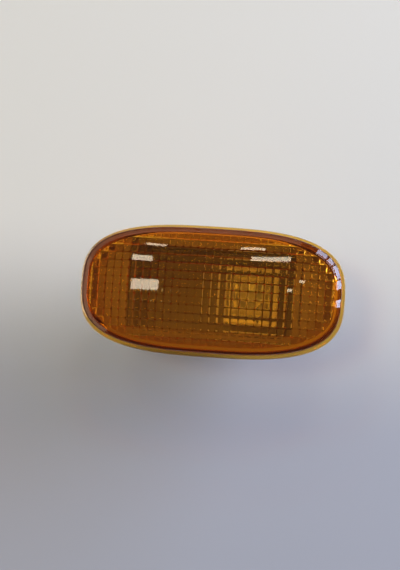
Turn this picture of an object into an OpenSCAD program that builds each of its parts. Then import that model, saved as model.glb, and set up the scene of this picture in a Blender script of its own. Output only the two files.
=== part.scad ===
// Oval amber side repeater lamp for a car's front wing.
// X runs along the lamp, Y up the wing and Z out through the lens.
// The origin is the middle of the panel opening, on the wing's outer face.

/* [Lens] */
// Length of the lens over its foot
lens_l = 104; // [98:1:110]
// Height of the lens over its foot
lens_w = 51.5; // [49:0.5:55]
// Squareness of the oval, from 2 for an ellipse upwards
oval_n = 3; // [2.6:0.1:3.4]
// Thickness of the crown over the deepest corners of the pillows
crown_wall = 2.2; // [1.8:0.1:2.6]
// Thickness of the side wall where it sits on the flange
side_wall = 2.7; // [2.2:0.1:3]
// Thickness of the skirt that hides the flange
skirt_wall = 2; // [1.6:0.1:2.2]
// Width of the foot outside the side wall
foot_w = 0.5; // [0.3:0.1:1]
// Height of the foot
foot_t = 1.6; // [1.2:0.1:2.4]
// Chamfer on the foot's upper edge
foot_chamfer = 0.3; // [0.2:0.05:0.4]
// Height of the side wall above the foot
side_h = 7; // [5:0.25:8]
// Inward lean of the side wall over its height
side_lean = 0.2; // [0.1:0.1:0.6]
// Radius of the round edge above the side wall
edge_r = 2; // [1:0.25:3]
// Radius of the band between that edge and the crown
band_r = 17; // [12:1:24]
// Slope of the band at its outer side, in degrees
band_steep = 44; // [38:1:50]
// Slope of the band where it meets the crown, in degrees
band_gentle = 28; // [20:1:34]
// Rise of the crown inside the band
crown_h = 6.3; // [5:0.1:8]
// Smooth margin from the edge of the crown to the pillows
pillow_margin = 0.6; // [0.3:0.1:1]

/* [Pillow optics] */
// Distance from one pillow to the next along the lamp
pillow_l = 2.9; // [2.6:0.05:3.4]
// Distance from one pillow to the next across the lamp
pillow_w = 3.1; // [2.6:0.05:3.4]
// Depth of a pillow from its crown to its corners
pillow_h = 0.7; // [0.3:0.05:0.8]

/* [Housing] */
// Thickness of the flange that carries the lens
flange_t = 2; // [1.6:0.1:2.6]
// Width of the rib that centres the lens
rib_w = 1.2; // [0.8:0.1:1.6]
// Height of the rib that centres the lens
rib_h = 2; // [1:0.25:3]
// Distance from the end of the lens to the end of the tub
tub_end = 17; // [15:0.5:19]
// Distance from the side of the lens to the side of the tub
tub_side = 7.25; // [6.75:0.25:8]
// Corner radius of the tub
tub_r = 7; // [5:0.5:9]
// Depth of the tub below the flange
tub_depth = 20; // [18:0.5:24]
// Thickness of the tub's walls
tub_wall = 1.8; // [1.4:0.1:2.2]
// Thickness of the tub's floor
floor_t = 1.8; // [1.4:0.1:2.4]
// Chamfer round the tub's floor
tub_chamfer = 1.6; // [1:0.1:2.2]
// Distance of the locating ribs from the tub's ends
locating_end = 14; // [10:1:18]
// How far the locating ribs stand out from the tub
locating_out = 0.8; // [0.4:0.1:1]
// Height of the stiffening ribs under the tub's floor
stiff_h = 1.2; // [0.8:0.1:2]
// Distance of the stiffening ribs from the long axis
stiff_y = 9; // [7:0.5:10]
// Distance of the breather from the tub's shallow end
vent_end = 11; // [9:1:15]
// Bore of the breather
vent_bore = 3; // [2.4:0.1:3.6]
// Length of the breather
vent_h = 4; // [3:0.25:6]
// Length of the collar round the bulb opening
collar_h = 3; // [2:0.25:4]
// Thickness of the collar's wall
collar_wall = 2.3; // [1.8:0.1:2.6]

/* [Panel fixing] */
// Thickness of the mounting gasket
gasket_t = 2; // [1.5:0.1:3]
// Margin of the flange outside the gasket
gasket_inset = 0.3; // [0.2:0.1:0.8]
// Thickness of the wing panel
panel_t = 0.8; // [0.6:0.05:1.2]
// Reach of the fixed hook past the tub
hook_reach = 3.6; // [2.6:0.1:4.2]
// Width of the fixed hook
hook_w = 14; // [10:0.5:18]
// Thickness of the spring clip's steel
clip_t = 0.6; // [0.4:0.05:0.8]
// Width of the spring clip
clip_w = 10; // [8:0.5:12]
// Length of the spring clip's leg along the tub
clip_leg = 10; // [9:0.5:12]
// Reach of the spring clip past the tub
clip_reach = 4.6; // [4:0.1:5]

/* [Bulb holder] */
// Distance of the bulb from the tub's other end
bulb_end = 20.5; // [19:0.5:24]
// Side of the square opening in the tub's floor
opening_side = 21; // [20.6:0.2:23]
// Wall of the holder's square plug
plug_wall = 1.4; // [1.2:0.1:1.8]
// How far the plug stands proud of the tub's floor
plug_proud = 3.2; // [2.4:0.1:4]
// Thickness of the holder's back plate
plate_t = 2; // [1.6:0.1:2.6]
// Margin of the back plate round the collar
plate_margin = 0.6; // [0.2:0.1:1]
// Thickness of the holder's rubber seal
seal_t = 1; // [0.8:0.1:1.6]
// Height of the socket tower above the back plate
tower_h = 9; // [8:0.25:9]
// Height of the wedge's pocket floor above the back plate
pocket_h = 3; // [2.5:0.25:4]
// Wall of the socket tower round the contacts
tower_wall = 1.3; // [1:0.1:1.6]
// Width of the holder's latches
latch_w = 7; // [5:0.5:9]
// Bite of the holder's latches past the opening's edge
latch_bite = 0.7; // [0.5:0.05:0.9]

/* [Connector] */
// Depth of the connector's socket
socket_depth = 12; // [10:0.5:14]
// Wall of the connector's shroud
shroud_wall = 1.3; // [1.1:0.1:1.6]
// Distance between the two blades
blade_pitch = 6; // [5.8:0.1:6.6]
// Width of a blade
blade_w = 2.8; // [2.3:0.1:3.2]
// Thickness of a contact's brass
brass_t = 0.6; // [0.5:0.05:0.8]
// Room between the blades and the shroud
blade_room = 1.7; // [1.5:0.1:2]

/* [Bulb] */
// Diameter of the bulb's glass
bulb_d = 10.2; // [9.6:0.1:10.4]
// Length of the glass above the wedge
bulb_h = 18.5; // [17:0.5:19]
// Height of the filament above the wedge
filament_h = 8.3; // [7:0.1:10]
// Thickness of the glass
glass_t = 0.8; // [0.6:0.05:1]
// Width of the wedge base
wedge_w = 9; // [8.6:0.1:9.4]
// Thickness of the wedge base
wedge_t = 2.2; // [2:0.1:2.4]
// Height of the wedge base
wedge_h = 8; // [7.5:0.25:8.5]
// Length of the lead wires folded up along the wedge
fold_h = 6; // [5:0.25:6.25]
// Diameter of the lead wires
wire_d = 0.5; // [0.4:0.05:0.6]
// Distance between the lead wires
lead_gap = 4.4; // [4:0.1:5]

/* [Clearances] */
// Room under the skirt, up to the panel
skirt_room = 0.8; // [0.5:0.1:1.2]
// Room round the flange inside the skirt
flange_gap = 0.2; // [0.1:0.05:0.3]
// Room round the rib inside the lens
rib_gap = 0.25; // [0.15:0.05:0.4]
// Room round the plug in its opening
plug_gap = 0.2; // [0.1:0.05:0.3]
// Play of the panel behind the hook
panel_play = 0.1; // [0.05:0.05:0.3]
// Play of the spring clip in its guides
clip_play = 0.1; // [0.05:0.05:0.2]
// Room round the wedge base in its slot
wedge_gap = 0.2; // [0.1:0.05:0.3]
// Room round the wires, contacts and latches
fit_gap = 0.05; // [0.03:0.01:0.1]

/* [Hidden] */

amber = [0.85, 0.42, 0.04];
dark_plastic = [0.2, 0.2, 0.21];
black_rubber = [0.07, 0.07, 0.07];
natural_nylon = [0.86, 0.84, 0.76];
spring_steel = [0.6, 0.61, 0.63];
brass = [0.78, 0.62, 0.3];
clear_glass = [0.85, 0.9, 0.92, 0.4];
tungsten = [0.42, 0.42, 0.44];

// Points round an outline, and a sliver that closes the thin slices
oval_points = 96;
sliver = 0.01;

// Corner radii of the bulb opening, its collar and the holder that fills them
opening_r = 1.5;
collar_r = 3;
seal_inset = 0.3;

// Heights of the layers, from the panel outwards and inwards
z_flange = gasket_t;
z_seat = z_flange + flange_t;
z_skirt = skirt_room;
z_edge = z_skirt + foot_t + side_h;
z_floor = z_flange - tub_depth;
z_floor_top = z_floor + floor_t;
z_collar = z_floor - collar_h;
z_plate = z_collar - seal_t;
z_back = z_plate - plate_t;
z_socket = z_back - socket_depth;
z_tower = z_plate + tower_h;
z_wedge = z_plate + pocket_h;
z_glass = z_wedge + wedge_h;
z_filament = z_glass + filament_h;

// The tub's size and the bulb's place follow the lens
tub_l = lens_l - 2 * tub_end;
tub_w = lens_w - 2 * tub_side;
bulb_x = tub_l / 2 - bulb_end;

// Half sizes of the lens at its foot, and how far inside them its other edges lie
half_l = lens_l / 2;
half_w = lens_w / 2;
edge_inset = foot_w + side_lean;
flange_inset = skirt_wall + flange_gap;
hollow_inset = foot_w + side_wall;

// Points up a round, as inset and height, for slopes in degrees from its steep end
function bend(start, r, steep, slopes) =
    [for (slope = slopes) start + r * [sin(steep) - sin(slope), cos(slope) - cos(steep)]];

// The side of the lens: leaning wall, round edge, and the band up to the crown
edge_steep = 86;
edge_parts = 3;
band_parts = 4;
function slopes(steep, gentle, parts) = [for (i = [1 : parts]) steep + (gentle - steep) * i / parts];
edge_round = bend([edge_inset, z_edge], edge_r, edge_steep, slopes(edge_steep, band_steep, edge_parts));
band = bend(edge_round[edge_parts - 1], band_r, band_steep, slopes(band_steep, band_gentle, band_parts));
side_profile = concat([[foot_w, z_skirt], [edge_inset, z_edge]], edge_round, band);
crown_inset = band[band_parts - 1][0];
z_crown = band[band_parts - 1][1];
z_pillow = z_crown - crown_wall;
pillow_inset = crown_inset + pillow_margin;

// An oval between an ellipse and a rounded oblong, with n as its squareness
function oval(a, b, n = oval_n, count = oval_points) = [
    for (i = [0 : count - 1])
        let (t = 360 * i / count, c = cos(t), s = sin(t))
            [a * sign(c) * pow(abs(c), 2 / n), b * sign(s) * pow(abs(s), 2 / n)]
];

// The crown has a level ridge that bends down to its ends, and parabolas across the ridge
function ridge(u) = max(1 - pow(abs(u), oval_n), 0);
function crown_rise(x, y, inset) =
    let (top = ridge(x / (half_l - inset)), v = y / (half_w - inset))
        crown_h * max(top - v * v * pow(top, 1 - 2 / oval_n), 0);

// The crown's outline at a share of its rise
function contour(level, count = oval_points) =
    let (a = half_l - crown_inset, b = half_w - crown_inset, end = pow(1 - level, 1 / oval_n))
        [for (i = [0 : count - 1])
            let (t = 360 * i / count, u = end * sign(cos(t)) * pow(abs(cos(t)), 2 / oval_n),
                 top = max(ridge(u), 1e-9))
                [a * u, b * sign(sin(t)) * sqrt(max(top - level, 0) * pow(top, 2 / oval_n - 1))]];

module slice(outline, z) {
    translate([0, 0, z]) linear_extrude(sliver) polygon(outline);
}

module thin_oval(inset, z) {
    slice(oval(half_l - inset, half_w - inset), z);
}

module oval_plate(inset, z, h) {
    translate([0, 0, z]) linear_extrude(h) polygon(oval(half_l - inset, half_w - inset));
}

module rounded_oblong(l, w, r) {
    square([l - 2 * r, w], center = true);
    square([l, w - 2 * r], center = true);
    for (x = [-1, 1], y = [-1, 1])
        translate([x * (l / 2 - r), y * (w / 2 - r)]) circle(r, $fn = 32);
}

module block(l, w, r, z, h) {
    translate([0, 0, z]) linear_extrude(h) rounded_oblong(l, w, r);
}

// A bar of constant width along a line of points in a plane, made of the two offset sides
function unit(v) = v / norm(v);
function side_point(path, i, d) =
    let (a = unit(path[i] - path[max(i - 1, 0)] + (i == 0 ? path[1] - path[0] : [0, 0])),
         b = unit(i == len(path) - 1 ? a : path[i + 1] - path[i]),
         m = unit(a + b), k = d / (m * b))
        path[i] + k * [-m[1], m[0]];
function ribbon(path, t) = concat(
    [for (i = [0 : len(path) - 1]) side_point(path, i, t / 2)],
    [for (i = [len(path) - 1 : -1 : 0]) side_point(path, i, -t / 2)]
);
function arc(centre, r, from, to, count) =
    [for (i = [0 : count]) let (t = from + (to - from) * i / count) centre + r * [cos(t), sin(t)]];

// The outer form of the lens: foot, side, and the crown in slices
crown_slices = 9;
function slice_level(i) = i == crown_slices ? 0.999 : 1 - pow(1 - i / crown_slices, 2);
module lens_body() {
    hull() {
        oval_plate(0, z_skirt, foot_t - foot_chamfer);
        oval_plate(foot_chamfer, z_skirt, foot_t);
    }
    for (i = [0 : len(side_profile) - 2])
        hull() {
            thin_oval(side_profile[i][0], side_profile[i][1]);
            thin_oval(side_profile[i + 1][0], side_profile[i + 1][1]);
        }
    for (i = [0 : crown_slices - 1])
        hull() {
            slice(contour(slice_level(i)), z_crown + crown_h * slice_level(i));
            slice(contour(slice_level(i + 1)), z_crown + crown_h * slice_level(i + 1));
        }
}

// The hollow side of the lens is a mould core with a dimple for each pillow
cells_x = ceil((half_l - hollow_inset) / pillow_l);
cells_y = ceil((half_w - hollow_inset) / pillow_w);

// Half steps across the cells: even ones lie on the cell edges and odd ones on the crowns
function core_point(i, j) =
    let (x = i * pillow_l / 2, y = j * pillow_w / 2,
         dent = pillow_h * (abs(i) % 2 + abs(j) % 2) / 2)
        [x, y, z_pillow + crown_rise(x, y, pillow_inset) - dent];

module pillow_core() {
    nx = 2 * cells_x;
    ny = 2 * cells_y;
    cols = 2 * nx + 1;
    rows = 2 * ny + 1;
    low = z_seat - 1;
    top = [for (i = [-nx : nx], j = [-ny : ny]) core_point(i, j)];
    base = [for (i = [-nx, nx], j = [-ny, ny]) [i * pillow_l / 2, j * pillow_w / 2, low]];
    function at(i, j) = i * rows + j;
    n = cols * rows;
    fans = [
        for (i = [1 : 2 : cols - 2], j = [1 : 2 : rows - 2])
            let (c = at(i, j),
                 ring = [at(i - 1, j - 1), at(i, j - 1), at(i + 1, j - 1), at(i + 1, j),
                         at(i + 1, j + 1), at(i, j + 1), at(i - 1, j + 1), at(i - 1, j)])
                for (k = [0 : 7]) [c, ring[(k + 1) % 8], ring[k]]
    ];
    sides = [
        concat([for (j = [rows - 1 : -1 : 0]) at(0, j)], [n, n + 1]),
        concat([for (j = [0 : rows - 1]) at(cols - 1, j)], [n + 3, n + 2]),
        concat([for (i = [0 : cols - 1]) at(i, 0)], [n + 2, n]),
        concat([for (i = [cols - 1 : -1 : 0]) at(i, rows - 1)], [n + 1, n + 3]),
        [n, n + 2, n + 3, n + 1]
    ];
    polyhedron(points = concat(top, base), faces = concat(fans, sides));
}

module lens() {
    color(amber) difference() {
        lens_body();
        oval_plate(skirt_wall, z_skirt - 1, z_seat - z_skirt + 1);
        intersection() {
            pillow_core();
            union() {
                hull() {
                    thin_oval(hollow_inset, z_seat - sliver);
                    thin_oval(pillow_inset, z_pillow);
                }
                oval_plate(pillow_inset, z_pillow, crown_h + 1);
            }
        }
    }
}

module tub_form(shrink, top, bottom, chamfer) {
    l = tub_l - 2 * shrink;
    w = tub_w - 2 * shrink;
    r = tub_r - shrink;
    hull() {
        block(l, w, r, bottom + chamfer, top - bottom - chamfer);
        block(l - 2 * chamfer, w - 2 * chamfer, r - chamfer / 2, bottom, sliver);
    }
}

// The hook's flat face sits behind the panel, and its back slopes to the tub
hook_lip = 1.2;
hook_slope = 7;
module hook() {
    top = -panel_t - panel_play;
    root = tub_l / 2 - tub_wall / 2;
    tip = tub_l / 2 + hook_reach;
    profile = [[-root, top], [-tip, top], [-tip, top - hook_lip], [-tub_l / 2, top - hook_slope],
               [-root, top - hook_slope]];
    translate([0, hook_w / 2, 0]) rotate([90, 0, 0]) linear_extrude(hook_w) polygon(profile);
}

// Two L rails on the tub's end hold the leg of the spring clip
rail_top = -panel_t - 3;
rail_w = 1.8;
rail_lip = 1.2;
module clip_rails() {
    room = clip_t + 2 * clip_play;
    out = room + rail_lip;
    profile = [[-tub_wall / 2, 0], [room, 0], [room, -rail_lip], [out, -rail_lip], [out, rail_w],
               [-tub_wall / 2, rail_w]];
    for (side = [-1, 1])
        translate([tub_l / 2, side * (clip_w / 2 + clip_play), rail_top - clip_leg + 1])
            linear_extrude(clip_leg - 1) scale([1, side]) polygon(profile);
}

// Short ribs along the tub take up the play in the panel opening
locating_w = 1.5;
locating_h = 8;
module locating_ribs() {
    locating_x = tub_l / 2 - locating_end;
    for (x = [-1, 1], y = [-1, 1])
        translate([x * locating_x, y * (tub_w + locating_out - tub_wall / 2) / 2, z_flange - locating_h / 2])
            cube([locating_w, locating_out + tub_wall / 2, locating_h + 1], center = true);
}

// Long ribs stiffen the shallow end of the tub's floor, from its chamfer to the collar
stiff_w = 1.2;
module stiffening_ribs() {
    from = -tub_l / 2 + tub_chamfer + tub_r / 2;
    to = bulb_x - opening_side / 2 - collar_wall / 2;
    for (y = [-1, 1])
        translate([from, y * stiff_y - stiff_w / 2, z_floor - stiff_h])
            cube([to - from, stiff_w, stiff_h + floor_t / 2]);
}

// A short tube at the shallow end lets the lamp breathe
vent_wall = 1.3;
module breather(r, low, high) {
    translate([vent_end - tub_l / 2, 0, low]) cylinder(r = r, h = high - low, $fn = 48);
}

module centring_rib() {
    lens_lean = (pillow_inset - hollow_inset) * rib_h / (z_pillow - z_seat);
    outer = hollow_inset + lens_lean + rib_gap;
    difference() {
        oval_plate(outer, z_seat - sliver, rib_h + sliver);
        oval_plate(outer + rib_w, z_seat - 1, rib_h + 2);
    }
}

module housing() {
    collar_side = opening_side + 2 * collar_wall;
    color(dark_plastic) difference() {
        union() {
            oval_plate(flange_inset, z_flange, flange_t);
            centring_rib();
            tub_form(0, z_seat - sliver, z_floor, tub_chamfer);
            translate([bulb_x, 0, 0]) block(collar_side, collar_side, collar_r, z_collar, collar_h + floor_t / 2);
            hook();
            clip_rails();
            locating_ribs();
            stiffening_ribs();
            breather(vent_bore / 2 + vent_wall, z_floor - vent_h, z_floor + floor_t / 2);
        }
        tub_form(tub_wall, z_seat + rib_h + 1, z_floor_top, tub_chamfer / 2);
        translate([bulb_x, 0, 0]) block(opening_side, opening_side, opening_r, z_collar - 1, collar_h + floor_t + 3);
        breather(vent_bore / 2, z_floor - vent_h - 1, z_floor_top + 1);
    }
}

// The gasket clears the panel opening, the hook and the spring clip
gasket_room = 1;
module mounting_gasket() {
    hole_l = tub_l + 2 * max(hook_reach, clip_reach) + 2 * gasket_room;
    hole_w = tub_w + 2 * locating_out + gasket_room;
    color(black_rubber) difference() {
        oval_plate(flange_inset + gasket_inset, 0, gasket_t);
        block(hole_l, hole_w, tub_r, -1, gasket_t + 2);
    }
}

// A steel strip: a leg along the tub, a round bend, and an arm with a barb under the panel
clip_bend = 1.3;
clip_step = 0.25;
clip_knee = 3.2;
barb_root = 1.6;
module spring_clip() {
    leg = tub_l / 2 + clip_play + clip_t / 2;
    low = rail_top - clip_leg;
    out = tub_l / 2 + clip_reach - clip_t / 2;
    path = concat(
        [[leg, rail_top]],
        arc([leg + clip_bend, low], clip_bend, 180, 330, 8),
        [[out, -panel_t - clip_knee - 1], [out - clip_step, -panel_t - clip_knee],
         [tub_l / 2 + barb_root, -panel_t - panel_play]]
    );
    color(spring_steel) translate([0, clip_w / 2, 0]) rotate([90, 0, 0]) linear_extrude(clip_w)
        polygon(ribbon(path, clip_t));
}

// The plug of the bulb holder, slit on both sides of each latch
plug_side = opening_side - 2 * plug_gap;
plug_top = z_floor_top + plug_proud;
latch_slit = 0.8;
slit_start = 1.5;

// The contacts stand beside the wedge, against its lead wires
blade_y = blade_pitch / 2;
contact_y = wedge_t / 2 + wire_d + 2 * fit_gap + brass_t / 2;
lead_bend = 0.45;
slot_half = blade_y + brass_t / 2 + fit_gap;
tower_l = wedge_w + 2 * wedge_gap + 2 * tower_wall;
tower_w = 2 * (slot_half + tower_wall);
shroud_x = blade_w + 2 * blade_room;
shroud_y = blade_pitch + brass_t + 2 * blade_room;

module plug() {
    inner = plug_side - 2 * plug_wall;
    difference() {
        block(plug_side, plug_side, opening_r - plug_gap, z_plate - sliver, plug_top - z_plate + sliver);
        block(inner, inner, 0.5, z_plate, plug_top - z_plate + 1);
        for (x = [-1, 1], y = [-1, 1])
            translate([x * (latch_w + latch_slit) / 2, y * (plug_side - plug_wall) / 2, z_plate + slit_start])
                translate([-latch_slit / 2, -plug_wall, 0]) cube([latch_slit, 2 * plug_wall, plug_top - z_plate]);
    }
}

// A latch is a wedge on the plug's wall that hooks over the tub's floor
latch_h = 2.2;
latch_edge = 0.5;
module latch(side) {
    bite = plug_gap + latch_bite;
    profile = [[-plug_wall / 2, 0], [bite, 0.15], [bite, latch_edge], [0, latch_h], [-plug_wall / 2, latch_h]];
    translate([-latch_w / 2, side * plug_side / 2, z_floor_top + fit_gap])
        rotate([90, 0, 90]) linear_extrude(latch_w) scale([side, 1]) polygon(profile);
}

// Two ridged grips on the back plate turn and pull the holder
grip_h = 8;
grip_w = 14;
grip_t = 1.6;
ridge_d = 1.2;
ridge_pitch = 2.6;
module grip(side) {
    x = side * (plug_side / 2 - grip_t / 2);
    translate([x - grip_t / 2, -grip_w / 2, z_back - grip_h]) cube([grip_t, grip_w, grip_h + sliver]);
    for (k = [-2 : 2])
        translate([x + side * grip_t / 2, k * ridge_pitch, z_back - grip_h])
            cylinder(d = ridge_d, h = grip_h + sliver, $fn = 24);
}

// The nib that the harness plug latches over
nib_w = 3;
nib_h = 1;
module latch_nib() {
    profile = [[-0.2, 0], [0.2, 0], [nib_h, 2.4], [nib_h, 3], [-0.2, 3]];
    translate([-nib_w / 2, shroud_y / 2 + shroud_wall, z_socket + 2])
        rotate([90, 0, 90]) linear_extrude(nib_w) polygon(profile);
}

// The pocket for the wedge, and the slot that holds both contacts down to the connector
module wedge_pocket() {
    l = wedge_w + 2 * wedge_gap;
    w = wedge_t + 2 * wedge_gap;
    floor = z_wedge - lead_bend - wire_d / 2 - wedge_gap;
    translate([-l / 2, -w / 2, floor]) cube([l, w, wedge_h + tower_h]);
}

module contact_slot() {
    w = blade_w + 2 * fit_gap;
    translate([-w / 2, -slot_half, z_back - 1]) cube([w, 2 * slot_half, z_tower - z_back + 2]);
}

module bulb_holder() {
    plate_side = opening_side + 2 * collar_wall + 2 * plate_margin;
    color(natural_nylon) translate([bulb_x, 0, 0]) difference() {
        union() {
            block(plate_side, plate_side, collar_r + plate_margin, z_back, plate_t);
            plug();
            for (side = [-1, 1]) {
                latch(side);
                grip(side);
            }
            block(tower_l, tower_w, 1, z_plate - sliver, tower_h + sliver);
            block(shroud_x + 2 * shroud_wall, shroud_y + 2 * shroud_wall, 1.6, z_socket, socket_depth + sliver);
            latch_nib();
        }
        block(shroud_x, shroud_y, 0.8, z_socket - 1, socket_depth + 1);
        wedge_pocket();
        contact_slot();
    }
}

module holder_seal() {
    outer = opening_side + 2 * collar_wall - 2 * seal_inset;
    inner = opening_side;
    color(black_rubber) translate([bulb_x, 0, 0]) difference() {
        block(outer, outer, collar_r - seal_inset, z_plate, seal_t);
        block(inner, inner, opening_r, z_plate - 1, seal_t + 2);
    }
}

// A brass strip that bows in to its lead wire, passes the plate and ends as a blade
blade_back = 1.5;
contact_flare = 0.7;
module contact(side) {
    middle = (z_wedge + z_tower) / 2;
    path = [[blade_y, z_socket + blade_back], [blade_y, z_wedge - 1], [contact_y, middle - 1],
            [contact_y, middle + 0.5], [contact_y + contact_flare, z_tower - 0.5]];
    color(brass) translate([bulb_x - blade_w / 2, 0, 0]) scale([1, side, 1]) rotate([90, 0, 90])
        linear_extrude(blade_w) polygon(ribbon(path, brass_t));
}

// Half profile of the bulb's glass, or of its hollow where a wall is given
glass_neck = 0.7;
glass_foot = 1.5;
seal_h = 2;
function glass_profile(wall = 0) =
    let (r = bulb_d / 2 - wall, neck = r - glass_neck, low = z_glass + (wall > 0 ? seal_h : -glass_foot))
        concat([[0, low], [neck, low], [r, z_glass + 5]],
               arc([0, z_glass + bulb_h - bulb_d / 2], r, 0, 90, 10));

// A round wire along a line of points in an upright plane
module wire(path, d, sides = 12) {
    n = len(path);
    rings = [
        for (i = [0 : n - 1], m = [0 : sides - 1])
            let (p = side_point(path, i, d / 2 * cos(360 * m / sides)))
                [p[0], d / 2 * sin(360 * m / sides), p[1]]
    ];
    skin = [
        for (i = [0 : n - 2], m = [0 : sides - 1])
            let (m2 = (m + 1) % sides, a = i * sides, b = a + sides)
                [a + m, a + m2, b + m2, b + m]
    ];
    ends = [[for (m = [sides - 1 : -1 : 0]) m], [for (m = [0 : sides - 1]) (n - 1) * sides + m]];
    polyhedron(points = rings, faces = concat(skin, ends));
}

// A lead comes down through the wedge, turns under it and folds up along its face
fold_x = 0.8;
module lead(side) {
    low = z_wedge - lead_bend;
    across = wedge_t / 2 + wire_d / 2 + fit_gap;
    along = lead_gap / 2 - fold_x;
    run = norm([along, across]);
    path = concat(
        [[0, z_filament]],
        arc([lead_bend, low + lead_bend], lead_bend, 180, 270, 4),
        arc([run - lead_bend, low + lead_bend], lead_bend, -90, 0, 4),
        [[run, z_wedge + fold_h]]
    );
    translate([side * lead_gap / 2, 0, 0])
        rotate([0, 0, atan2(side * across, -side * along)]) wire(path, wire_d);
}

module bulb_glass() {
    color(clear_glass) translate([bulb_x, 0, 0]) difference() {
        union() {
            block(wedge_w, wedge_t, 1, z_wedge, wedge_h);
            rotate_extrude($fn = 64) polygon(glass_profile());
        }
        rotate_extrude($fn = 64) polygon(glass_profile(glass_t));
        for (s = [-1, 1])
            translate([s * lead_gap / 2, 0, z_wedge - 1])
                cylinder(d = wire_d + 2 * fit_gap, h = wedge_h + seal_h + 2, $fn = 24);
    }
}

module bulb_lead(side) {
    color(spring_steel) translate([bulb_x, 0, 0]) lead(side);
}

// The filament is a fine coil that arches from one lead to the other
coil_turns = 8;
coil_r = 0.35;
coil_wire = 0.09;
coil_steps = 9;
coil_sides = 6;
function coil_point(k) =
    let (n = coil_turns * coil_steps, u = k / n, t = 360 * k / coil_steps,
         reach = lead_gap / 2 - wire_d / 2 - coil_wire)
        [(2 * u - 1) * reach, coil_r * cos(t), z_filament - 0.5 + 0.9 * sin(180 * u) + coil_r * sin(t)];
module bulb_filament() {
    n = coil_turns * coil_steps;
    rings = [
        for (k = [0 : n])
            let (a = coil_point(max(k - 1, 0)), b = coil_point(min(k + 1, n)), d = unit(b - a),
                 e = unit(cross(d, [1, 0, 0])), f = cross(d, e))
                for (m = [0 : coil_sides - 1])
                    coil_point(k) + coil_wire * (e * cos(360 * m / coil_sides) + f * sin(360 * m / coil_sides))
    ];
    sides = [
        for (k = [0 : n - 1], m = [0 : coil_sides - 1])
            let (m2 = (m + 1) % coil_sides, p = k * coil_sides, q = (k + 1) * coil_sides)
                for (f = [[p + m, q + m, q + m2], [p + m, q + m2, p + m2]]) f
    ];
    caps = [[for (m = [0 : coil_sides - 1]) m], [for (m = [coil_sides - 1 : -1 : 0]) n * coil_sides + m]];
    color(tungsten) translate([bulb_x, 0, 0]) polyhedron(points = rings, faces = concat(sides, caps));
}

lens();
housing();
mounting_gasket();
spring_clip();
bulb_holder();
holder_seal();
contact(1);  // contact_upper
contact(-1);  // contact_lower
bulb_glass();
bulb_filament();
bulb_lead(1);  // bulb_lead_upper
bulb_lead(-1);  // bulb_lead_lower
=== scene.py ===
# %% [markdown]
# # An amber side repeater lamp
#
# This lamp sits in a car's front wing and blinks with the indicators. Its lens is one clear amber
# moulding: glossy outside, and covered inside with small square pillows that spread the bulb's
# light. Nearly everything that the eye enjoys here is light passing through that lens, so the lesson
# spends most of its time on one good mesh and one good glassy material.
#
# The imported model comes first, as a fixed frame. Everything is in metres, with +X along the lamp,
# +Y across it and +Z out through the lens.

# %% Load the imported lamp
import math
import bmesh
import bpy
import numpy as np
from mathutils import Matrix, Vector


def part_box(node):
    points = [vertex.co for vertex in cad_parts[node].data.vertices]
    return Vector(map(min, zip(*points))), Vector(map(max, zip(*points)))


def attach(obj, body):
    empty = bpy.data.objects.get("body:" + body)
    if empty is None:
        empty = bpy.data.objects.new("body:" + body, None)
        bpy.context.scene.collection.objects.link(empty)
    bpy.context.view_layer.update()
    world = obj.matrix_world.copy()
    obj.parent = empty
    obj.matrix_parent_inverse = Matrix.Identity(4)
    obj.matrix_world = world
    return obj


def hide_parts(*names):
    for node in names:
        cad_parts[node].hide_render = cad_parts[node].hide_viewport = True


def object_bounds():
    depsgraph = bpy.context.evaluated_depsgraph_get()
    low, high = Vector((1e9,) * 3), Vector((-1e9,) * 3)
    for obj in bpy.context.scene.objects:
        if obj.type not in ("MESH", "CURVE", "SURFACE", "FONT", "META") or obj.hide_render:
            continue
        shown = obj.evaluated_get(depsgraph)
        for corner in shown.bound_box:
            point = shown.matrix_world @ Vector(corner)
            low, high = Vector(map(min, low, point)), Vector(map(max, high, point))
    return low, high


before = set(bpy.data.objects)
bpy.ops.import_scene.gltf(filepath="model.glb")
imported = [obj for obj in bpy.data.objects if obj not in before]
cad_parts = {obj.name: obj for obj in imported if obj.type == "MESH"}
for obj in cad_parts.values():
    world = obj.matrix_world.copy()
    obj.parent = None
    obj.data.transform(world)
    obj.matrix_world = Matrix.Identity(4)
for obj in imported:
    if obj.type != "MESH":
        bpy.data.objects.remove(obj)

solid_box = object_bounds()
MM = 0.001
print("nodes:", ", ".join(sorted(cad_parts)))

# %% [markdown]
# ## Helpers
#
# Colours are easiest to choose as the hex values of a paint program, but Blender's sockets want
# linear light, so one function turns one into the other. A second small function adds a node with
# its settings and its links, so that each material below reads as a list of what it is made of.
# Blender measures in metres and a lamp's maker in millimetres, so two more turn one into the other.

# %% Colours, nodes and millimetres
def colour(hex_code):
    """Turn an sRGB hex code into linear light: each channel is undone by the sRGB curve."""
    srgb = [int(hex_code[i:i + 2], 16) / 255 for i in (1, 3, 5)]
    linear = [c / 12.92 if c <= 0.04045 else ((c + 0.055) / 1.055) ** 2.4 for c in srgb]
    return (*linear, 1.0)


def add(tree, kind, settings=None, inputs=None):
    """Add a node. settings are its own options, and inputs are values or links by socket."""
    node = tree.nodes.new(kind)
    for name, value in (settings or {}).items():
        setattr(node, name, value)
    for name, value in (inputs or {}).items():
        if isinstance(value, bpy.types.NodeSocket):
            tree.links.new(value, node.inputs[name])
        else:
            node.inputs[name].default_value = value
    return node


def new_material(name):
    """A material with an empty node tree and its output node."""
    material = bpy.data.materials.new(name)
    material.use_nodes = True
    material.node_tree.nodes.clear()
    return material, material.node_tree, add(material.node_tree, "ShaderNodeOutputMaterial")


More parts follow.
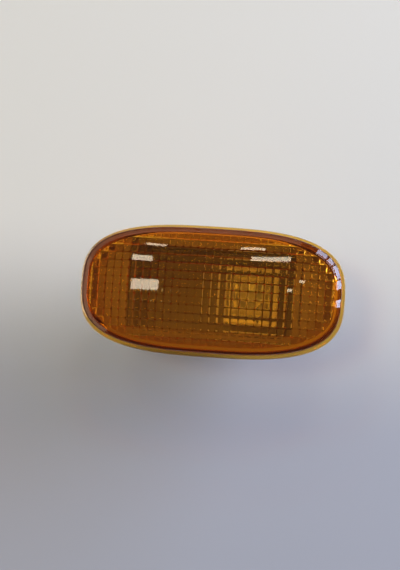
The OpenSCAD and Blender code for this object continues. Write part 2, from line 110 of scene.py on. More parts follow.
def place(tree, size_mm):
    """Object coordinates scaled so that one unit of a pattern is size_mm on the real lamp."""
    where = add(tree, "ShaderNodeTexCoord")
    scale = 1 / (size_mm * MM)
    return add(tree, "ShaderNodeMapping", None,
               {"Vector": where.outputs["Object"], "Scale": (scale, scale, scale)}).outputs["Vector"]


def in_mm(box, digits):
    """A box's two corners in millimetres, rounded for printing."""
    return [[round(c / MM, digits) for c in corner] for corner in box]


print("amber in linear light:", [round(c, 3) for c in colour("#F08A10")])

# %% [markdown]
# ## The lens, as a shape
#
# A real lens is one injection moulding. Seen from outside it has a foot that is welded to the
# housing, a wall that leans in a little so that it leaves its mould, a round shoulder and a low
# crown. Inside, the wall is smooth and the crown carries the pillows.
#
# It could be sculpted or built with booleans, but every part of it is a simple function of place,
# so numpy works the surface out directly. The plan is an oval between an ellipse and a rounded
# oblong, and the sizes are in millimetres. Length, width, height, dome and pillows are the solid
# model's. The foot is wider and taller here than there, because daylight leaves the lamp through it
# as a thin yellow line, and that line needs a clear way down through the plastic.
#
# INSET is how far in from the oval's edge a thing lies, W is a width seen from above, WALL is how
# thick the plastic is, and H, T and RISE are heights. RIB_CLEAR is the height in the frame that
# clears the housing's rib. STEEP and GENTLE are slopes in degrees, where 90 is upright.

# %% Sizes of the lens
lens_low, lens_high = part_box("lens")
HALF_L = (lens_high[0] - lens_low[0]) / 2 / MM
HALF_W = (lens_high[1] - lens_low[1]) / 2 / MM
Z_SKIRT = lens_low[2] / MM
OVAL = 3.0
FOOT_W, FOOT_T, FOOT_ROUND = 1.3, 4.6, 0.3
ROOT_W, ROOT_H = 0.02, 0.3
SIDE_H, LEAN, WALL_STEEP = 5.75, 0.2, 86
EDGE_R, BAND_R, BAND_STEEP, BAND_GENTLE = 1.0, 10.0, 44, 28
CROWN_H, CROWN_WALL = 6.3, 2.2
SIDE_WALL, SKIRT_WALL, SKIRT_ROUND, SEAT_H = 1.9, 2.0, 0.2, 3.2
RIB_CLEAR, STEP_INSET, STEP_RISE = 6.2, 4.4, 0.3
PILLOW_MARGIN = 0.6
PILLOW_L, PILLOW_W, PILLOW_H, PILLOW_CURVE = 2.9, 3.1, 0.7, 3.5
Z_FOOT = Z_SKIRT + FOOT_T
Z_SEAT = Z_SKIRT + SEAT_H
Z_EDGE = Z_FOOT + SIDE_H


def bend(start, radius, steep, gentle, count):
    """Points up a round from a start at the steep end, by slope in degrees: the inset grows by
    radius (sin steep - sin slope), and the height by radius (cos slope - cos steep)."""
    slope = np.radians(np.linspace(steep, gentle, count))
    steep = math.radians(steep)
    return np.stack([start[0] + radius * (math.sin(steep) - np.sin(slope)),
                     start[1] + radius * (np.cos(slope) - math.cos(steep))], axis=-1)


edge_round = bend((FOOT_W + LEAN, Z_EDGE), EDGE_R, WALL_STEEP, BAND_STEEP, 6)
band = bend(edge_round[-1], BAND_R, BAND_STEEP, BAND_GENTLE, 9)
CROWN_INSET, Z_CROWN = (float(value) for value in band[-1])
PILLOW_INSET = CROWN_INSET + PILLOW_MARGIN
print(f"lens {2 * HALF_L:.1f} by {2 * HALF_W:.1f} mm, crown edge {CROWN_INSET:.2f} mm in and "
      f"{Z_CROWN:.2f} mm up, top at {Z_CROWN + CROWN_H:.2f} mm")

# %% [markdown]
# The crown has a long ridge that stays level in the middle and bends down towards the ends. Across
# the ridge every slice is a parabola that meets the oval at the same height. So the crown's height
# at a point is the ridge's height there, less what the parabola has fallen by.

# %% Height of the crown
def crown_rise(x, y, inset):
    """Height of the crown above its edge. With u and v as the shares of the half length and the
    half width, the ridge is 1 - |u|^n, and the height is CROWN_H (ridge - v^2 ridge^(1 - 2/n))."""
    ridge = np.maximum(1 - np.abs(x / (HALF_L - inset)) ** OVAL, 0)
    v = y / (HALF_W - inset)
    return CROWN_H * np.maximum(ridge - v ** 2 * ridge ** (1 - 2 / OVAL), 0)


print("crown rise at the middle and the edge:",
      crown_rise(np.array([0.0, HALF_L - CROWN_INSET]), np.zeros(2), CROWN_INSET).round(3))

# %% [markdown]
# The plan is cut into columns along the lamp. They fall on the pillows' own grid, with a few more in
# the last 8 degrees at both ends, where the oval turns quickly. The same columns serve the inside and
# the outside, so the two sides meet along one loop with no stitching. On an oval that is scaled to 1
# by 1, a column at u reaches up to v = (1 - u^n)^(1/n).
#
# The rows serve the inside alone, so they crowd towards the pillows' steep sides. The columns are
# evenly spaced, because uneven ones would bend the smooth normals outside and the reflections there.

# %% Columns shared by the inside and the outside
EVEN = np.linspace(-1, 1, 11)[:-1]
CLOSE_AT_SIDES = np.array([-1, -0.95, -0.84, -0.64, -0.34, 0, 0.34, 0.64, 0.84, 0.95])
END_FROM = 8
END_ANGLES = [0, 1, 2, 3.5, 5.5]


def lines_over(pitch, reach_mm, across):
    """Grid lines over whole pillows out to reach_mm, at given places from -1 to 1 across each."""
    count = math.ceil(reach_mm / pitch)
    cells = np.arange(-count, count)[:, None] + (across[None, :] + 1) / 2
    return np.append(cells.ravel(), count) * pitch


def along_oval(degrees):
    """How far along a point lies at an angle on the oval: cos(angle)^(2/n), or 1 at 0 degrees."""
    return np.cos(np.radians(degrees)) ** (2 / OVAL)


inner_a, inner_b = HALF_L - PILLOW_INSET, HALF_W - PILLOW_INSET
on_grid = lines_over(PILLOW_L, inner_a, EVEN) / inner_a
on_grid = on_grid[np.abs(on_grid) < along_oval(END_FROM)]
end_turn = along_oval(END_ANGLES)
columns = np.sort(np.concatenate([on_grid, end_turn, -end_turn]))
reach = np.maximum(1 - np.abs(columns) ** OVAL, 0) ** (1 / OVAL)
rows = lines_over(PILLOW_W, inner_b, CLOSE_AT_SIDES)
print(len(columns), "columns and", len(rows), "rows over the pillows")

# %% [markdown]
# Inside, each pillow bulges towards the bulb as a shallow dome on its own square, so the plastic is
# thickest at a pillow's middle. Rows that would run past the oval are held at its edge. Their spare
# corners fall on one another there, and merging them leaves a clean border that follows the oval
# and cuts the outer pillows as the real mould does.

# %% Pillowed inner face
def pillow_depth(x, y):
    """How far a pillow stands in: PILLOW_H at its middle, half of that at the middle of a side and
    nothing at a corner. Each direction adds PILLOW_H/2 times 1 - |t|^PILLOW_CURVE, where t runs
    from -1 to 1 across the pillow."""
    t = np.abs(2 * ((x / PILLOW_L) % 1) - 1)
    s = np.abs(2 * ((y / PILLOW_W) % 1) - 1)
    return PILLOW_H / 2 * (2 - t ** PILLOW_CURVE - s ** PILLOW_CURVE)


inner_x = np.repeat(columns[:, None] * inner_a, len(rows), axis=1)
inner_y = np.clip(rows[None, :], -reach[:, None] * inner_b, reach[:, None] * inner_b)
inner_z = Z_CROWN - CROWN_WALL + crown_rise(inner_x, inner_y, PILLOW_INSET)
inner_z -= pillow_depth(inner_x, inner_y)
inner_face = np.stack([inner_x, inner_y, inner_z], axis=-1)
print("inner face:", inner_face.shape, "thinnest crown", CROWN_WALL, "mm")

# %% [markdown]
# Outside, the crown uses the same columns, with its rows spread evenly between the two sides. Below
# it, one closed loop of points is carried down a profile of insets and heights: shoulder, wall, foot,
# skirt and the seat that stands on the housing's flange. A small step then carries the inner wall
# over the rib that keeps the lens in its place. The foot's edges get small rounds, because a moulding
# never has a knife edge and those rounds catch the light.

# %% Crown and profile
CROWN_ROWS = 49
spread = np.sin(np.linspace(-90, 90, CROWN_ROWS) * math.pi / 180)
crown_x = np.repeat(columns[:, None] * (HALF_L - CROWN_INSET), CROWN_ROWS, axis=1)
crown_y = reach[:, None] * spread[None, :] * (HALF_W - CROWN_INSET)
crown_z = Z_CROWN + crown_rise(crown_x, crown_y, CROWN_INSET)
crown_face = np.stack([crown_x, crown_y, crown_z], axis=-1)

foot_root = [[FOOT_W + ROOT_W, Z_FOOT + ROOT_H], [FOOT_W, Z_FOOT]]
foot_lip = bend((0, Z_FOOT - FOOT_ROUND), FOOT_ROUND, 90, 0, 5)
# The middle of a quarter round lies 0.3 of its radius in from both of its sides
round_middle = 0.3 * SKIRT_ROUND
skirt = [[0, Z_SKIRT + SKIRT_ROUND], [round_middle, Z_SKIRT + round_middle],
         [SKIRT_ROUND, Z_SKIRT], [SKIRT_WALL, Z_SKIRT]]
seat = [[SKIRT_WALL, Z_SEAT], [FOOT_W + SIDE_WALL, Z_SEAT], [FOOT_W + SIDE_WALL, RIB_CLEAR],
        [STEP_INSET, RIB_CLEAR + STEP_RISE]]
profile = np.concatenate([band[::-1], edge_round[-2::-1], foot_root, foot_lip[::-1], skirt, seat])
print(len(profile), "points down the profile, from", profile[0].round(2), "to", profile[-1].round(2))

# %% [markdown]
# The loop starts at the lamp's right end, runs along the top and comes back along the bottom. Each
# ring of the profile is that loop scaled to its own inset, and the last ring joins the inner face's
# border directly.

# %% Rings and the inner wall
loop_u = np.concatenate([columns[::-1], columns[1:-1]])
loop_v = np.concatenate([reach[::-1], -reach[1:-1]])


def ring(inset, z):
    """The loop at an inset and a height: u times the half length, v times the half width."""
    level = np.full(len(loop_u), z)
    return np.stack([loop_u * (HALF_L - inset), loop_v * (HALF_W - inset), level], axis=-1)


outer_rings = np.stack([ring(inset, z) for inset, z in profile])
border_x, border_y = loop_u * inner_a, loop_v * inner_b
border_z = Z_CROWN - CROWN_WALL + crown_rise(border_x, border_y, PILLOW_INSET)
border = np.stack([border_x, border_y, border_z - pillow_depth(border_x, border_y)], axis=-1)
inner_wall = np.stack([outer_rings[-1] * (1 - k) + border * k for k in np.linspace(0, 1, 4)])
print("rings:", outer_rings.shape, "inner wall:", inner_wall.shape)

# %% [markdown]
# Now the four grids become one mesh. Each grid's faces come from its index numbers, worked out as
# whole arrays. Points that fall on one another are merged, flat slivers are dissolved, and the
# normals are made to point outwards, which a glassy material needs more than any other: a ray
# must know whether it goes into the plastic or out of it.

# %% Grids to one closed mesh
def grid_faces(rows_in, columns_in, closed):
    """Four corners for each cell: its own number, the next column's and both of the next row's."""
    i = np.arange(rows_in - 1)[:, None]
    j = np.arange(columns_in if closed else columns_in - 1)[None, :]
    right = (j + 1) % columns_in
    row, next_row = i * columns_in, (i + 1) * columns_in
    corners = [row + j, row + right, next_row + right, next_row + j]
    cells = [np.broadcast_to(corner, (rows_in - 1, j.size)) for corner in corners]
    return np.stack(cells, axis=-1).reshape(-1, 4)


MERGE = 2e-7
SHARP = math.radians(30)


def mesh_from_grids(name, grids, material):
    """Join grids of points, given in millimetres, into one closed mesh with outward normals. Points
    closer than MERGE metres become one, and edges that turn by more than SHARP stay crisp."""
    points, faces, start = [], [], 0
    for grid, closed in grids:
        points.append(grid.reshape(-1, 3) * MM)
        faces.append(grid_faces(grid.shape[0], grid.shape[1], closed) + start)
        start += grid.shape[0] * grid.shape[1]
    mesh = bpy.data.meshes.new(name)
    mesh.from_pydata(np.concatenate(points), [], np.concatenate(faces).tolist())
    work = bmesh.new()
    work.from_mesh(mesh)
    bmesh.ops.remove_doubles(work, verts=work.verts, dist=MERGE)
    bmesh.ops.dissolve_degenerate(work, edges=work.edges, dist=MERGE)
    bmesh.ops.recalc_face_normals(work, faces=work.faces)
    open_edges = sum(1 for edge in work.edges if len(edge.link_faces) != 2)
    volume = work.calc_volume(signed=True)
    work.to_mesh(mesh)
    work.free()
    if volume < 0:
        mesh.flip_normals()
    mesh.shade_smooth()
    mesh.set_sharp_from_angle(angle=SHARP)
    mesh.materials.append(material)
    piece = bpy.data.objects.new(name, mesh)
    bpy.context.scene.collection.objects.link(piece)
    print(f"{name}: {len(mesh.polygons)} faces, {open_edges} open edges, {abs(volume) * 1e6:.2f} cm3")
    return piece


print("a 3 by 4 grid has", len(grid_faces(3, 4, False)), "cells, or",
      len(grid_faces(3, 4, True)), "if it closes")

# %% [markdown]
# ## The lens, as amber acrylic
#
# The real plastic is polymethyl methacrylate, dyed right through and moulded against polished
# steel. It bends light with an index of 1.49. The dye works by the distance that light travels in
# it: a thin edge looks yellow, the crown orange, and the long way down through the wall brick red. A
# tinted surface colour can't do that, but absorption through the volume does it by itself. After d
# metres each channel keeps exp(-density (1 - colour) d) of its light, so the colour's weak blue goes
# first, then its green, and the red nearly stays.
#
# A lamp's light is found by shadow rays, and glass stops those. So a shadow ray meets a tinted
# transparent surface instead, and the inside of the lamp is lit through its lens. Handling leaves
# faint hairlines on the outside, which show only in the highlights.

# %% Amber acrylic
DYE_PER_METRE = 640.0


def amber_acrylic():
    """Polished PMMA with an amber dye in its volume and fine hairlines in its gloss."""
    material, tree, out = new_material("amber_acrylic")
    hairlines = add(tree, "ShaderNodeTexNoise", None,
                    {"Vector": place(tree, 1.4), "Scale": 1.0, "Detail": 6.0, "Roughness": 0.7})
    gloss = add(tree, "ShaderNodeMapRange", None,
                {"Value": hairlines.outputs["Fac"], "From Min": 0.35, "From Max": 0.75,
                 "To Min": 0.01, "To Max": 0.03})
    ripple = add(tree, "ShaderNodeTexNoise", None,
                 {"Vector": place(tree, 9.0), "Scale": 1.0, "Detail": 2.0})
    bump = add(tree, "ShaderNodeBump", None,
               {"Height": ripple.outputs["Fac"], "Strength": 0.03, "Distance": 0.03 * MM})
    plastic = add(tree, "ShaderNodeBsdfPrincipled", None,
                  {"Base Color": (1, 1, 1, 1), "IOR": 1.49, "Transmission Weight": 1.0,
                   "Roughness": gloss.outputs["Result"], "Normal": bump.outputs["Normal"]})
    clear = add(tree, "ShaderNodeBsdfTransparent", None, {"Color": (0.93, 0.93, 0.93, 1)})
    path = add(tree, "ShaderNodeLightPath")
    surface = add(tree, "ShaderNodeMixShader", None,
                  {0: path.outputs["Is Shadow Ray"], 1: plastic.outputs[0], 2: clear.outputs[0]})
    dye = add(tree, "ShaderNodeVolumeAbsorption", None,
              {"Color": colour("#FDE652"), "Density": DYE_PER_METRE})
    tree.links.new(surface.outputs[0], out.inputs["Surface"])
    tree.links.new(dye.outputs[0], out.inputs["Volume"])
    return material


surfaces = [(inner_face, False), (crown_face, False), (outer_rings, True), (inner_wall, True)]
lens = mesh_from_grids("lens_moulding", surfaces, amber_acrylic())
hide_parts("lens")
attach(lens, "root")

# %% [markdown]
# ## The housing
#
# Behind the lens is a tub of dark grey ABS. It is moulded against a tool whose faces were eroded by
# sparks, which leaves a fine, even grain about a tenth of a millimetre across and a soft satin. Its
# shape is right in the solid model, so it keeps that mesh and only gets its finish.

# %% Dark grey ABS
def dress(node, material):
    """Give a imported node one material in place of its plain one."""
    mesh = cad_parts[node].data
    mesh.materials.clear()
    mesh.materials.append(material)
    print(node, "gets", material.name)


def moulded_plastic(name, base, patch, rough, grain_mm, grain_depth_mm):
    """A moulded plastic: two close colours in soft patches, and a fine grain in its bump."""
    material, tree, out = new_material(name)
    cloud = add(tree, "ShaderNodeTexNoise", None,
                {"Vector": place(tree, 14.0), "Scale": 1.0, "Detail": 3.0})
    tint = add(tree, "ShaderNodeMix", {"data_type": "RGBA"},
               {"Factor": cloud.outputs["Fac"], 6: colour(base), 7: colour(patch)})
    grain = add(tree, "ShaderNodeTexNoise", None,
                {"Vector": place(tree, grain_mm), "Scale": 1.0, "Detail": 4.0, "Roughness": 0.6})
    sheen = add(tree, "ShaderNodeMapRange", None,
                {"Value": grain.outputs["Fac"], "To Min": rough - 0.06, "To Max": rough + 0.06})
    bump = add(tree, "ShaderNodeBump", None,
               {"Height": grain.outputs["Fac"], "Strength": 0.6, "Distance": grain_depth_mm * MM})
    plastic = add(tree, "ShaderNodeBsdfPrincipled", None,
                  {"Base Color": tint.outputs[2], "Roughness": sheen.outputs["Result"], "IOR": 1.53,
                   "Normal": bump.outputs["Normal"]})
    tree.links.new(plastic.outputs[0], out.inputs["Surface"])
    return material


# The real grain of 0.1 mm is finer than a pixel, so it is drawn at 0.25 mm to show at all
dark_abs = moulded_plastic("dark_grey_abs", "#5C4E45", "#64554B", 0.48, 0.25, 0.04)
dress("housing", dark_abs)

# %% [markdown]
# ## The weld seat
#
# The lens is welded to the housing's flange. Round the lens's wall the flange takes a second,
# browner colour, and that colour is painted light: it stands in for the light that comes down
# through the lens's wall and gives the band round the dome its brown. It is a second colour on the
# housing, not a piece of its own. Which colour a point takes follows from its place alone.

# %% Painted light on the seat
# Painted light on the seat: the share of the oval where it starts, and how soft its edge is
PAINTED_SEAT_FROM, PAINTED_SEAT_BLUR = 0.70, 0.02
WALL_HALVES = [half - FOOT_W - SIDE_WALL for half in (HALF_L, HALF_W)]


def paint_light_on_seat(material, seat_light_colour):
    """Paint light on the flange round the lens's wall, as a browner colour. With a and b as the half
    sizes of the wall's inside, the painted colour lies where |x/a|^n + |y/b|^n passes its starting
    share."""
    tree = material.node_tree
    where = add(tree, "ShaderNodeTexCoord")
    shares = add(tree, "ShaderNodeVectorMath", {"operation": "MULTIPLY"},
                 {0: where.outputs["Object"], 1: [1 / (half * MM) for half in WALL_HALVES] + [1 / MM]})
    sizes = add(tree, "ShaderNodeVectorMath", {"operation": "ABSOLUTE"}, {0: shares.outputs[0]})
    each = add(tree, "ShaderNodeSeparateXYZ", None, {"Vector": sizes.outputs[0]})
    powers = [add(tree, "ShaderNodeMath", {"operation": "POWER"},
                  {0: each.outputs[axis], 1: OVAL}).outputs[0] for axis in ("X", "Y")]
    oval = add(tree, "ShaderNodeMath", {"operation": "ADD"}, {0: powers[0], 1: powers[1]})
    outside = add(tree, "ShaderNodeMapRange", None,
                  {"Value": oval.outputs[0], "From Min": PAINTED_SEAT_FROM - PAINTED_SEAT_BLUR,
                   "From Max": PAINTED_SEAT_FROM + PAINTED_SEAT_BLUR})
    plastic = next(node for node in tree.nodes if node.type == "BSDF_PRINCIPLED")
    base = plastic.inputs["Base Color"].links[0].from_socket
    # Painted light: past that share the flange is mixed towards a browner colour, for light that comes
    # down through the lens's wall
    painted_tone = add(tree, "ShaderNodeMix", {"data_type": "RGBA"},
               {"Factor": outside.outputs["Result"], 6: base, 7: colour(seat_light_colour)})
    tree.links.new(painted_tone.outputs[2], plastic.inputs["Base Color"])


# Painted light on the seat, in a browner colour
paint_light_on_seat(dark_abs, "#5E4432")
# Where the painted light on the seat starts, and where the wall's inside is, across the lamp
print("mm from the long axis: skin", round(PAINTED_SEAT_FROM ** (1 / OVAL) * WALL_HALVES[1], 1),
      "and the wall's inside", round(WALL_HALVES[1], 1))

# %% [markdown]
# ## The bulb holder
#
# The holder is polyamide, nylon, in its natural milky white, because that stands the bulb's heat.
# It is what shows through the lens as the bright square.

# %% Natural polyamide
natural_nylon = moulded_plastic("natural_polyamide", "#DED7C2", "#E7E1CE", 0.42, 0.4, 0.02)
dress("bulb_holder", natural_nylon)

# %% [markdown]
# ## Gasket and seal
#
# The gasket is die-cut from a sheet of closed-cell foam, so its skin is covered in tiny dimples
# where cells were cut open. The seal is plain moulded rubber, smoother and a little shinier.

# %% Foam and rubber
def cell_foam():
    """Closed-cell foam: a Voronoi pattern half a millimetre across gives the cut cells. Each cell's
    hollow is painted darker, as painted shade.
    """
    material, tree, out = new_material("closed_cell_foam")
    cells = add(tree, "ShaderNodeTexVoronoi", None, {"Vector": place(tree, 0.5), "Scale": 1.0})
    # Painted shade: the colour follows the bump, darker in each cell's hollow
    shade = add(tree, "ShaderNodeMix", {"data_type": "RGBA"},
                {"Factor": cells.outputs["Distance"], 6: colour("#1A1A1A"), 7: colour("#303030")})
    bump = add(tree, "ShaderNodeBump", None,
               {"Height": cells.outputs["Distance"], "Strength": 0.8, "Distance": 0.12 * MM})
    foam = add(tree, "ShaderNodeBsdfPrincipled", None,
               {"Base Color": shade.outputs[2], "Roughness": 0.9, "IOR": 1.5,
                "Normal": bump.outputs["Normal"]})
    tree.links.new(foam.outputs[0], out.inputs["Surface"])
    return material


dress("mounting_gasket", cell_foam())
dress("holder_seal", moulded_plastic("moulded_rubber", "#1B1B1B", "#222222", 0.62, 0.3, 0.01))

# %% [markdown]
# ## Metals
#
# The lamp's metals were worked in three ways. The spring clip is rolled steel strip, with fine lines
# along the way it was rolled. The contacts are pressed brass. The bulb's leads and filament are drawn
# wire. Each takes its own colour and roughness, and the lines are noise stretched along one axis.

# %% Steel, brass and wire
LINE_STRETCH = 20


def drawn_metal(name, base, rough, line_mm, along):
    """A worked metal: noise that is LINE_STRETCH times longer along one axis varies its roughness
    and its bump."""
    material, tree, out = new_material(name)
    stretch = [1 / (line_mm * MM)] * 3
    stretch[along] /= LINE_STRETCH
    where = add(tree, "ShaderNodeTexCoord")
    lines_at = add(tree, "ShaderNodeMapping", None,
                   {"Vector": where.outputs["Object"], "Scale": stretch})
    lines = add(tree, "ShaderNodeTexNoise", None,
                {"Vector": lines_at.outputs["Vector"], "Scale": 1.0, "Detail": 3.0})
    sheen = add(tree, "ShaderNodeMapRange", None,
                {"Value": lines.outputs["Fac"], "To Min": rough - 0.08, "To Max": rough + 0.1})
    bump = add(tree, "ShaderNodeBump", None,
               {"Height": lines.outputs["Fac"], "Strength": 0.4, "Distance": 0.01 * MM})
    metal = add(tree, "ShaderNodeBsdfPrincipled", None,
                {"Base Color": colour(base), "Metallic": 1.0, "Roughness": sheen.outputs["Result"],
                 "Normal": bump.outputs["Normal"]})
    tree.links.new(metal.outputs[0], out.inputs["Surface"])
    return material


ALONG_X, ALONG_Z = 0, 2
dress("spring_clip", drawn_metal("rolled_spring_steel", "#B4B6B9", 0.32, 0.25, ALONG_Z))
pressed_brass = drawn_metal("pressed_brass", "#D9B870", 0.3, 0.25, ALONG_Z)
plated_wire = drawn_metal("plated_wire", "#C9C3B8", 0.25, 0.1, ALONG_Z)
for side in ("upper", "lower"):
    dress(f"contact_{side}", pressed_brass)
    dress(f"bulb_lead_{side}", plated_wire)
dress("bulb_filament", drawn_metal("drawn_tungsten", "#8C8C90", 0.4, 0.05, ALONG_X))

# %% [markdown]
# ## The bulb's glass
#
# The capsule is soda-lime glass, index 1.52, and thin enough to look colourless. It is a little
# frosted: a clear one would draw hard dark lines across the bright square behind it.

# %% Soda-lime glass
def soda_glass():
    """Lightly frosted glass that lets the lamps' light through to the filament and the holder."""
    material, tree, out = new_material("soda_lime_glass")
    glass = add(tree, "ShaderNodeBsdfPrincipled", None,
                {"Base Color": (1, 1, 1, 1), "IOR": 1.52, "Roughness": 0.3, "Transmission Weight": 1.0})
    clear = add(tree, "ShaderNodeBsdfTransparent", None, {"Color": (0.96, 0.96, 0.96, 1)})
    path = add(tree, "ShaderNodeLightPath")
    surface = add(tree, "ShaderNodeMixShader", None,
                  {0: path.outputs["Is Shadow Ray"], 1: glass.outputs[0], 2: clear.outputs[0]})
    tree.links.new(surface.outputs[0], out.inputs["Surface"])
    return material


dress("bulb_glass", soda_glass())

# %% [markdown]
# ## The table, the camera and the light
#
# The lamp stands on a pale table on the back of its connector. The camera looks almost straight
# down on it, from a little towards +X and -Y, and is rolled a few degrees, so the lamp lies slightly
# clockwise in the frame. The table top's colour is painted a little darker and bluer towards the near
# side. That is painted shade, for a room that is lit from its far end.

# %% Pale table
TABLE_HALF = 2.0
SHADE_NEAR, SHADE_FAR = -0.06, 0.04


def pale_table(height):
    """A matt laminate table top, wide enough to fill the view, in metres like the frame. Its colour
    carries painted shade: darker and bluer towards the near side.
    """
    material, tree, out = new_material("pale_laminate")
    where = add(tree, "ShaderNodeTexCoord")
    along = add(tree, "ShaderNodeSeparateXYZ", None, {"Vector": where.outputs["Object"]})
    # Painted shade: towards the near side the table's colour turns darker and bluer
    shade = add(tree, "ShaderNodeMapRange", {"interpolation_type": "SMOOTHSTEP"},
                {"Value": along.outputs["Y"], "From Min": SHADE_NEAR, "From Max": SHADE_FAR})
    painted_tone = add(tree, "ShaderNodeMix", {"data_type": "RGBA"},
               {"Factor": shade.outputs["Result"], 6: colour("#B8C2D2"), 7: colour("#EEF4F0")})
    top = add(tree, "ShaderNodeBsdfPrincipled", None,
              {"Base Color": painted_tone.outputs[2], "Roughness": 0.6, "IOR": 1.45})
    tree.links.new(top.outputs[0], out.inputs["Surface"])
    mesh = bpy.data.meshes.new("table")
    quarters = [(-1, -1), (1, -1), (1, 1), (-1, 1)]
    corners = [(TABLE_HALF * x, TABLE_HALF * y, height) for x, y in quarters]
    mesh.from_pydata(corners, [], [(0, 1, 2, 3)])
    mesh.materials.append(material)
    table = bpy.data.objects.new("table", mesh)
    bpy.context.scene.collection.objects.link(table)
    return table


table_top = solid_box[0][2]
pale_table(table_top)
print("table top at", round(table_top / MM, 2), "mm")

# %% [markdown]
# A long lens half a metre away keeps the lamp's sides nearly parallel. MM_PER_PIXEL is how much of
# the lamp one pixel covers, and LAMP_PIXEL is where the lamp's middle falls, from the top left corner.
# The leans and the roll are in degrees.

# %% Camera
CAMERA_DISTANCE, AIM_HEIGHT = 0.50, 0.006
CAMERA_LEANS, CAMERA_ROLL = (4.2, -4.0), 3.7
MM_PER_PIXEL = 0.3925
LAMP_PIXEL = (211.9, 291.6)
FRAME_PIXELS = (400, 570)


def aim_camera():
    """Look at a point at the height AIM_HEIGHT, with the middle of the picture placed so that the
    lamp falls where it does in the photograph."""
    roll = math.radians(CAMERA_ROLL)
    right = Vector((math.cos(roll), math.sin(roll), 0))
    up = Vector((-math.sin(roll), math.cos(roll), 0))
    shift_x = (FRAME_PIXELS[0] / 2 - LAMP_PIXEL[0]) * MM_PER_PIXEL * MM
    shift_y = (LAMP_PIXEL[1] - FRAME_PIXELS[1] / 2) * MM_PER_PIXEL * MM
    target = Vector((0, 0, AIM_HEIGHT)) + right * shift_x + up * shift_y
    leans = [math.tan(math.radians(lean)) for lean in CAMERA_LEANS]
    z_axis = Vector((*leans, 1)).normalized()
    x_axis = (right - z_axis * right.dot(z_axis)).normalized()
    y_axis = z_axis.cross(x_axis)
    data = bpy.data.cameras.new("camera")
    data.sensor_fit = "VERTICAL"
    data.sensor_height = 36.0
    frame_height = FRAME_PIXELS[1] * MM_PER_PIXEL * MM
    data.lens = data.sensor_height * CAMERA_DISTANCE / frame_height
    camera = bpy.data.objects.new("camera", data)
    turn = Matrix((x_axis, y_axis, z_axis)).transposed().to_4x4()
    camera.matrix_world = Matrix.Translation(target + z_axis * CAMERA_DISTANCE) @ turn
    bpy.context.scene.collection.objects.link(camera)
    bpy.context.scene.camera = camera
    return camera


camera = aim_camera()
print("camera lens", round(camera.data.lens, 1), "mm")

# %% [markdown]
# Five oblong panels hang over the table as ceiling lights, with two small spots, and their
# reflections are the crisp pale patches on the crown. A window with bars stands to the right and
# shows in the shoulder. A faint warm wall on the left and far sides lights the band there.
#
# All of them are area lamps. A lamp's power is worked out as its radiance times pi times its area,
# so a lamp can change its size without looking brighter or darker in a reflection.

# %% Area lamps
TARGET = Vector((0, 0, 0.012))


def area_lamp(name, size, radiance, tint):
    """A rectangular lamp that shines straight down from where it is put."""
    data = bpy.data.lights.new(name, "AREA")
    data.shape = "RECTANGLE"
    data.size, data.size_y = size
    data.energy = radiance * math.pi * size[0] * size[1]
    data.color = colour(tint)[:3]
    lamp = bpy.data.objects.new(name, data)
    bpy.context.scene.collection.objects.link(lamp)
    return lamp


def upright_lamp(name, turn, level, distance, size, radiance, tint):
    """A lamp that faces the repeater, turn degrees round from +X. It stands distance metres away
    along the table and level metres above TARGET."""
    azimuth = math.radians(turn)
    direction = Vector((math.cos(azimuth), math.sin(azimuth), level / distance)).normalized()
    lamp = area_lamp(name, size, radiance, tint)
    lamp.location = TARGET + direction * math.hypot(distance, level)
    lamp.rotation_euler = direction.to_track_quat("Z", "Y").to_euler()
    return lamp


def width_across(degrees, distance):
    """How wide a lamp must be to span an angle, seen from a distance."""
    return 2 * distance * math.tan(math.radians(degrees) / 2)


print("a lamp 1.6 m away spans 10 degrees if it is", round(width_across(10, 1.6), 3), "m wide")

# %% [markdown]
# The lamps' places come from the reflections in the crown. Each ceiling panel has a place over the
# table and a size, in metres. Each pane of the window has its two sides, in degrees round from +X,
# and a share of the sky's brightness. The panes stand in two rows, a tall blue one and a short pinkish
# one over it, and each row has its lower and upper edge, its colour and its own share.

# %% Ceiling, window and warm wall
CEILING, PANEL_LIGHT = 2.0, 11.5
PANELS = [((-0.74, 0.18), (0.47, 0.45)), ((-0.86, 1.45), (0.38, 0.32)), ((-0.74, 2.52), (0.32, 0.22)),
          ((0.36, 1.86), (0.56, 0.32)), ((0.09, 2.72), (0.28, 0.26)),
          ((0.92, 0.69), (0.14, 0.10)), ((0.67, 0.31), (0.09, 0.12))]
for number, ((x, y), size) in enumerate(PANELS):
    panel = area_lamp(f"ceiling_panel_{number}", size, PANEL_LIGHT, "#FFF0D2")
    panel.location = (x, y, CEILING)

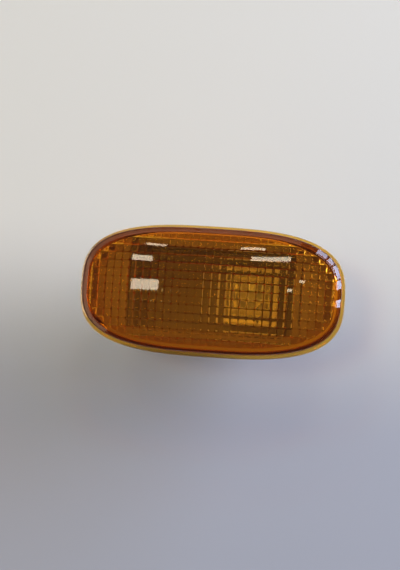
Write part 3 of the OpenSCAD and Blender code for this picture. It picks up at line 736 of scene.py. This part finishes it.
WINDOW_AWAY, SKY_LIGHT = 1.6, 17.0
PANES = [(0.6, 3.6, 1.0), (7.3, 14.9, 1.0), (16.9, 37.1, 0.9), (39.7, 49.8, 0.75), (52.4, 63.7, 0.6)]
PANE_ROWS = [(-0.09, 0.65, "#C6D6FA", 1.0), (0.73, 1.08, "#FFE3E0", 0.4)]
for number, (first, last, sky) in enumerate(PANES):
    for row, (low, high, tint, share) in enumerate(PANE_ROWS):
        pane = (width_across(last - first, WINDOW_AWAY), high - low)
        upright_lamp(f"window_pane_{number}_{row}", (first + last) / 2, (low + high) / 2,
                     WINDOW_AWAY, pane, SKY_LIGHT * sky * share, tint)

# The warm wall stands in strips that are WARM_STEP degrees wide, and it is brighter past WARM_TURN
WARM_AWAY, WARM_LEVEL, WARM_HEIGHT = 2.2, 0.484, 0.8
WARM_FROM, WARM_TO, WARM_STEP, WARM_TURN = 85, 230, 20, 150
WARM_DIM, WARM_BRIGHT = 1.1, 1.9
strips = range(WARM_FROM, WARM_TO, WARM_STEP)
for number, turn in enumerate(strips):
    glow = WARM_DIM if turn < WARM_TURN else WARM_BRIGHT
    strip = (width_across(WARM_STEP, WARM_AWAY), WARM_HEIGHT)
    upright_lamp(f"warm_wall_{number}", turn, WARM_LEVEL, WARM_AWAY, strip, glow, "#FFE2B8")
print(len(PANELS), "panels,", len(PANES) * len(PANE_ROWS), "panes and", len(strips), "strips of wall")

# %% [markdown]
# Weak light comes from all round as well. The Standard view keeps the colours as they were chosen.

# %% Room and view
ROOM_LIGHT = 0.1
world = bpy.data.worlds.new("room")
bpy.context.scene.world = world
world.use_nodes = True
background = world.node_tree.nodes["Background"]
background.inputs["Color"].default_value = colour("#F4F0EA")
background.inputs["Strength"].default_value = ROOM_LIGHT
bpy.context.scene.view_settings.view_transform = "Standard"
print("view transform:", bpy.context.scene.view_settings.view_transform)

# %% [markdown]
# ## Finish
#
# The last cell prints the solid model's box.

# %% Print the solid box
print("solid box ", in_mm(solid_box, 2))
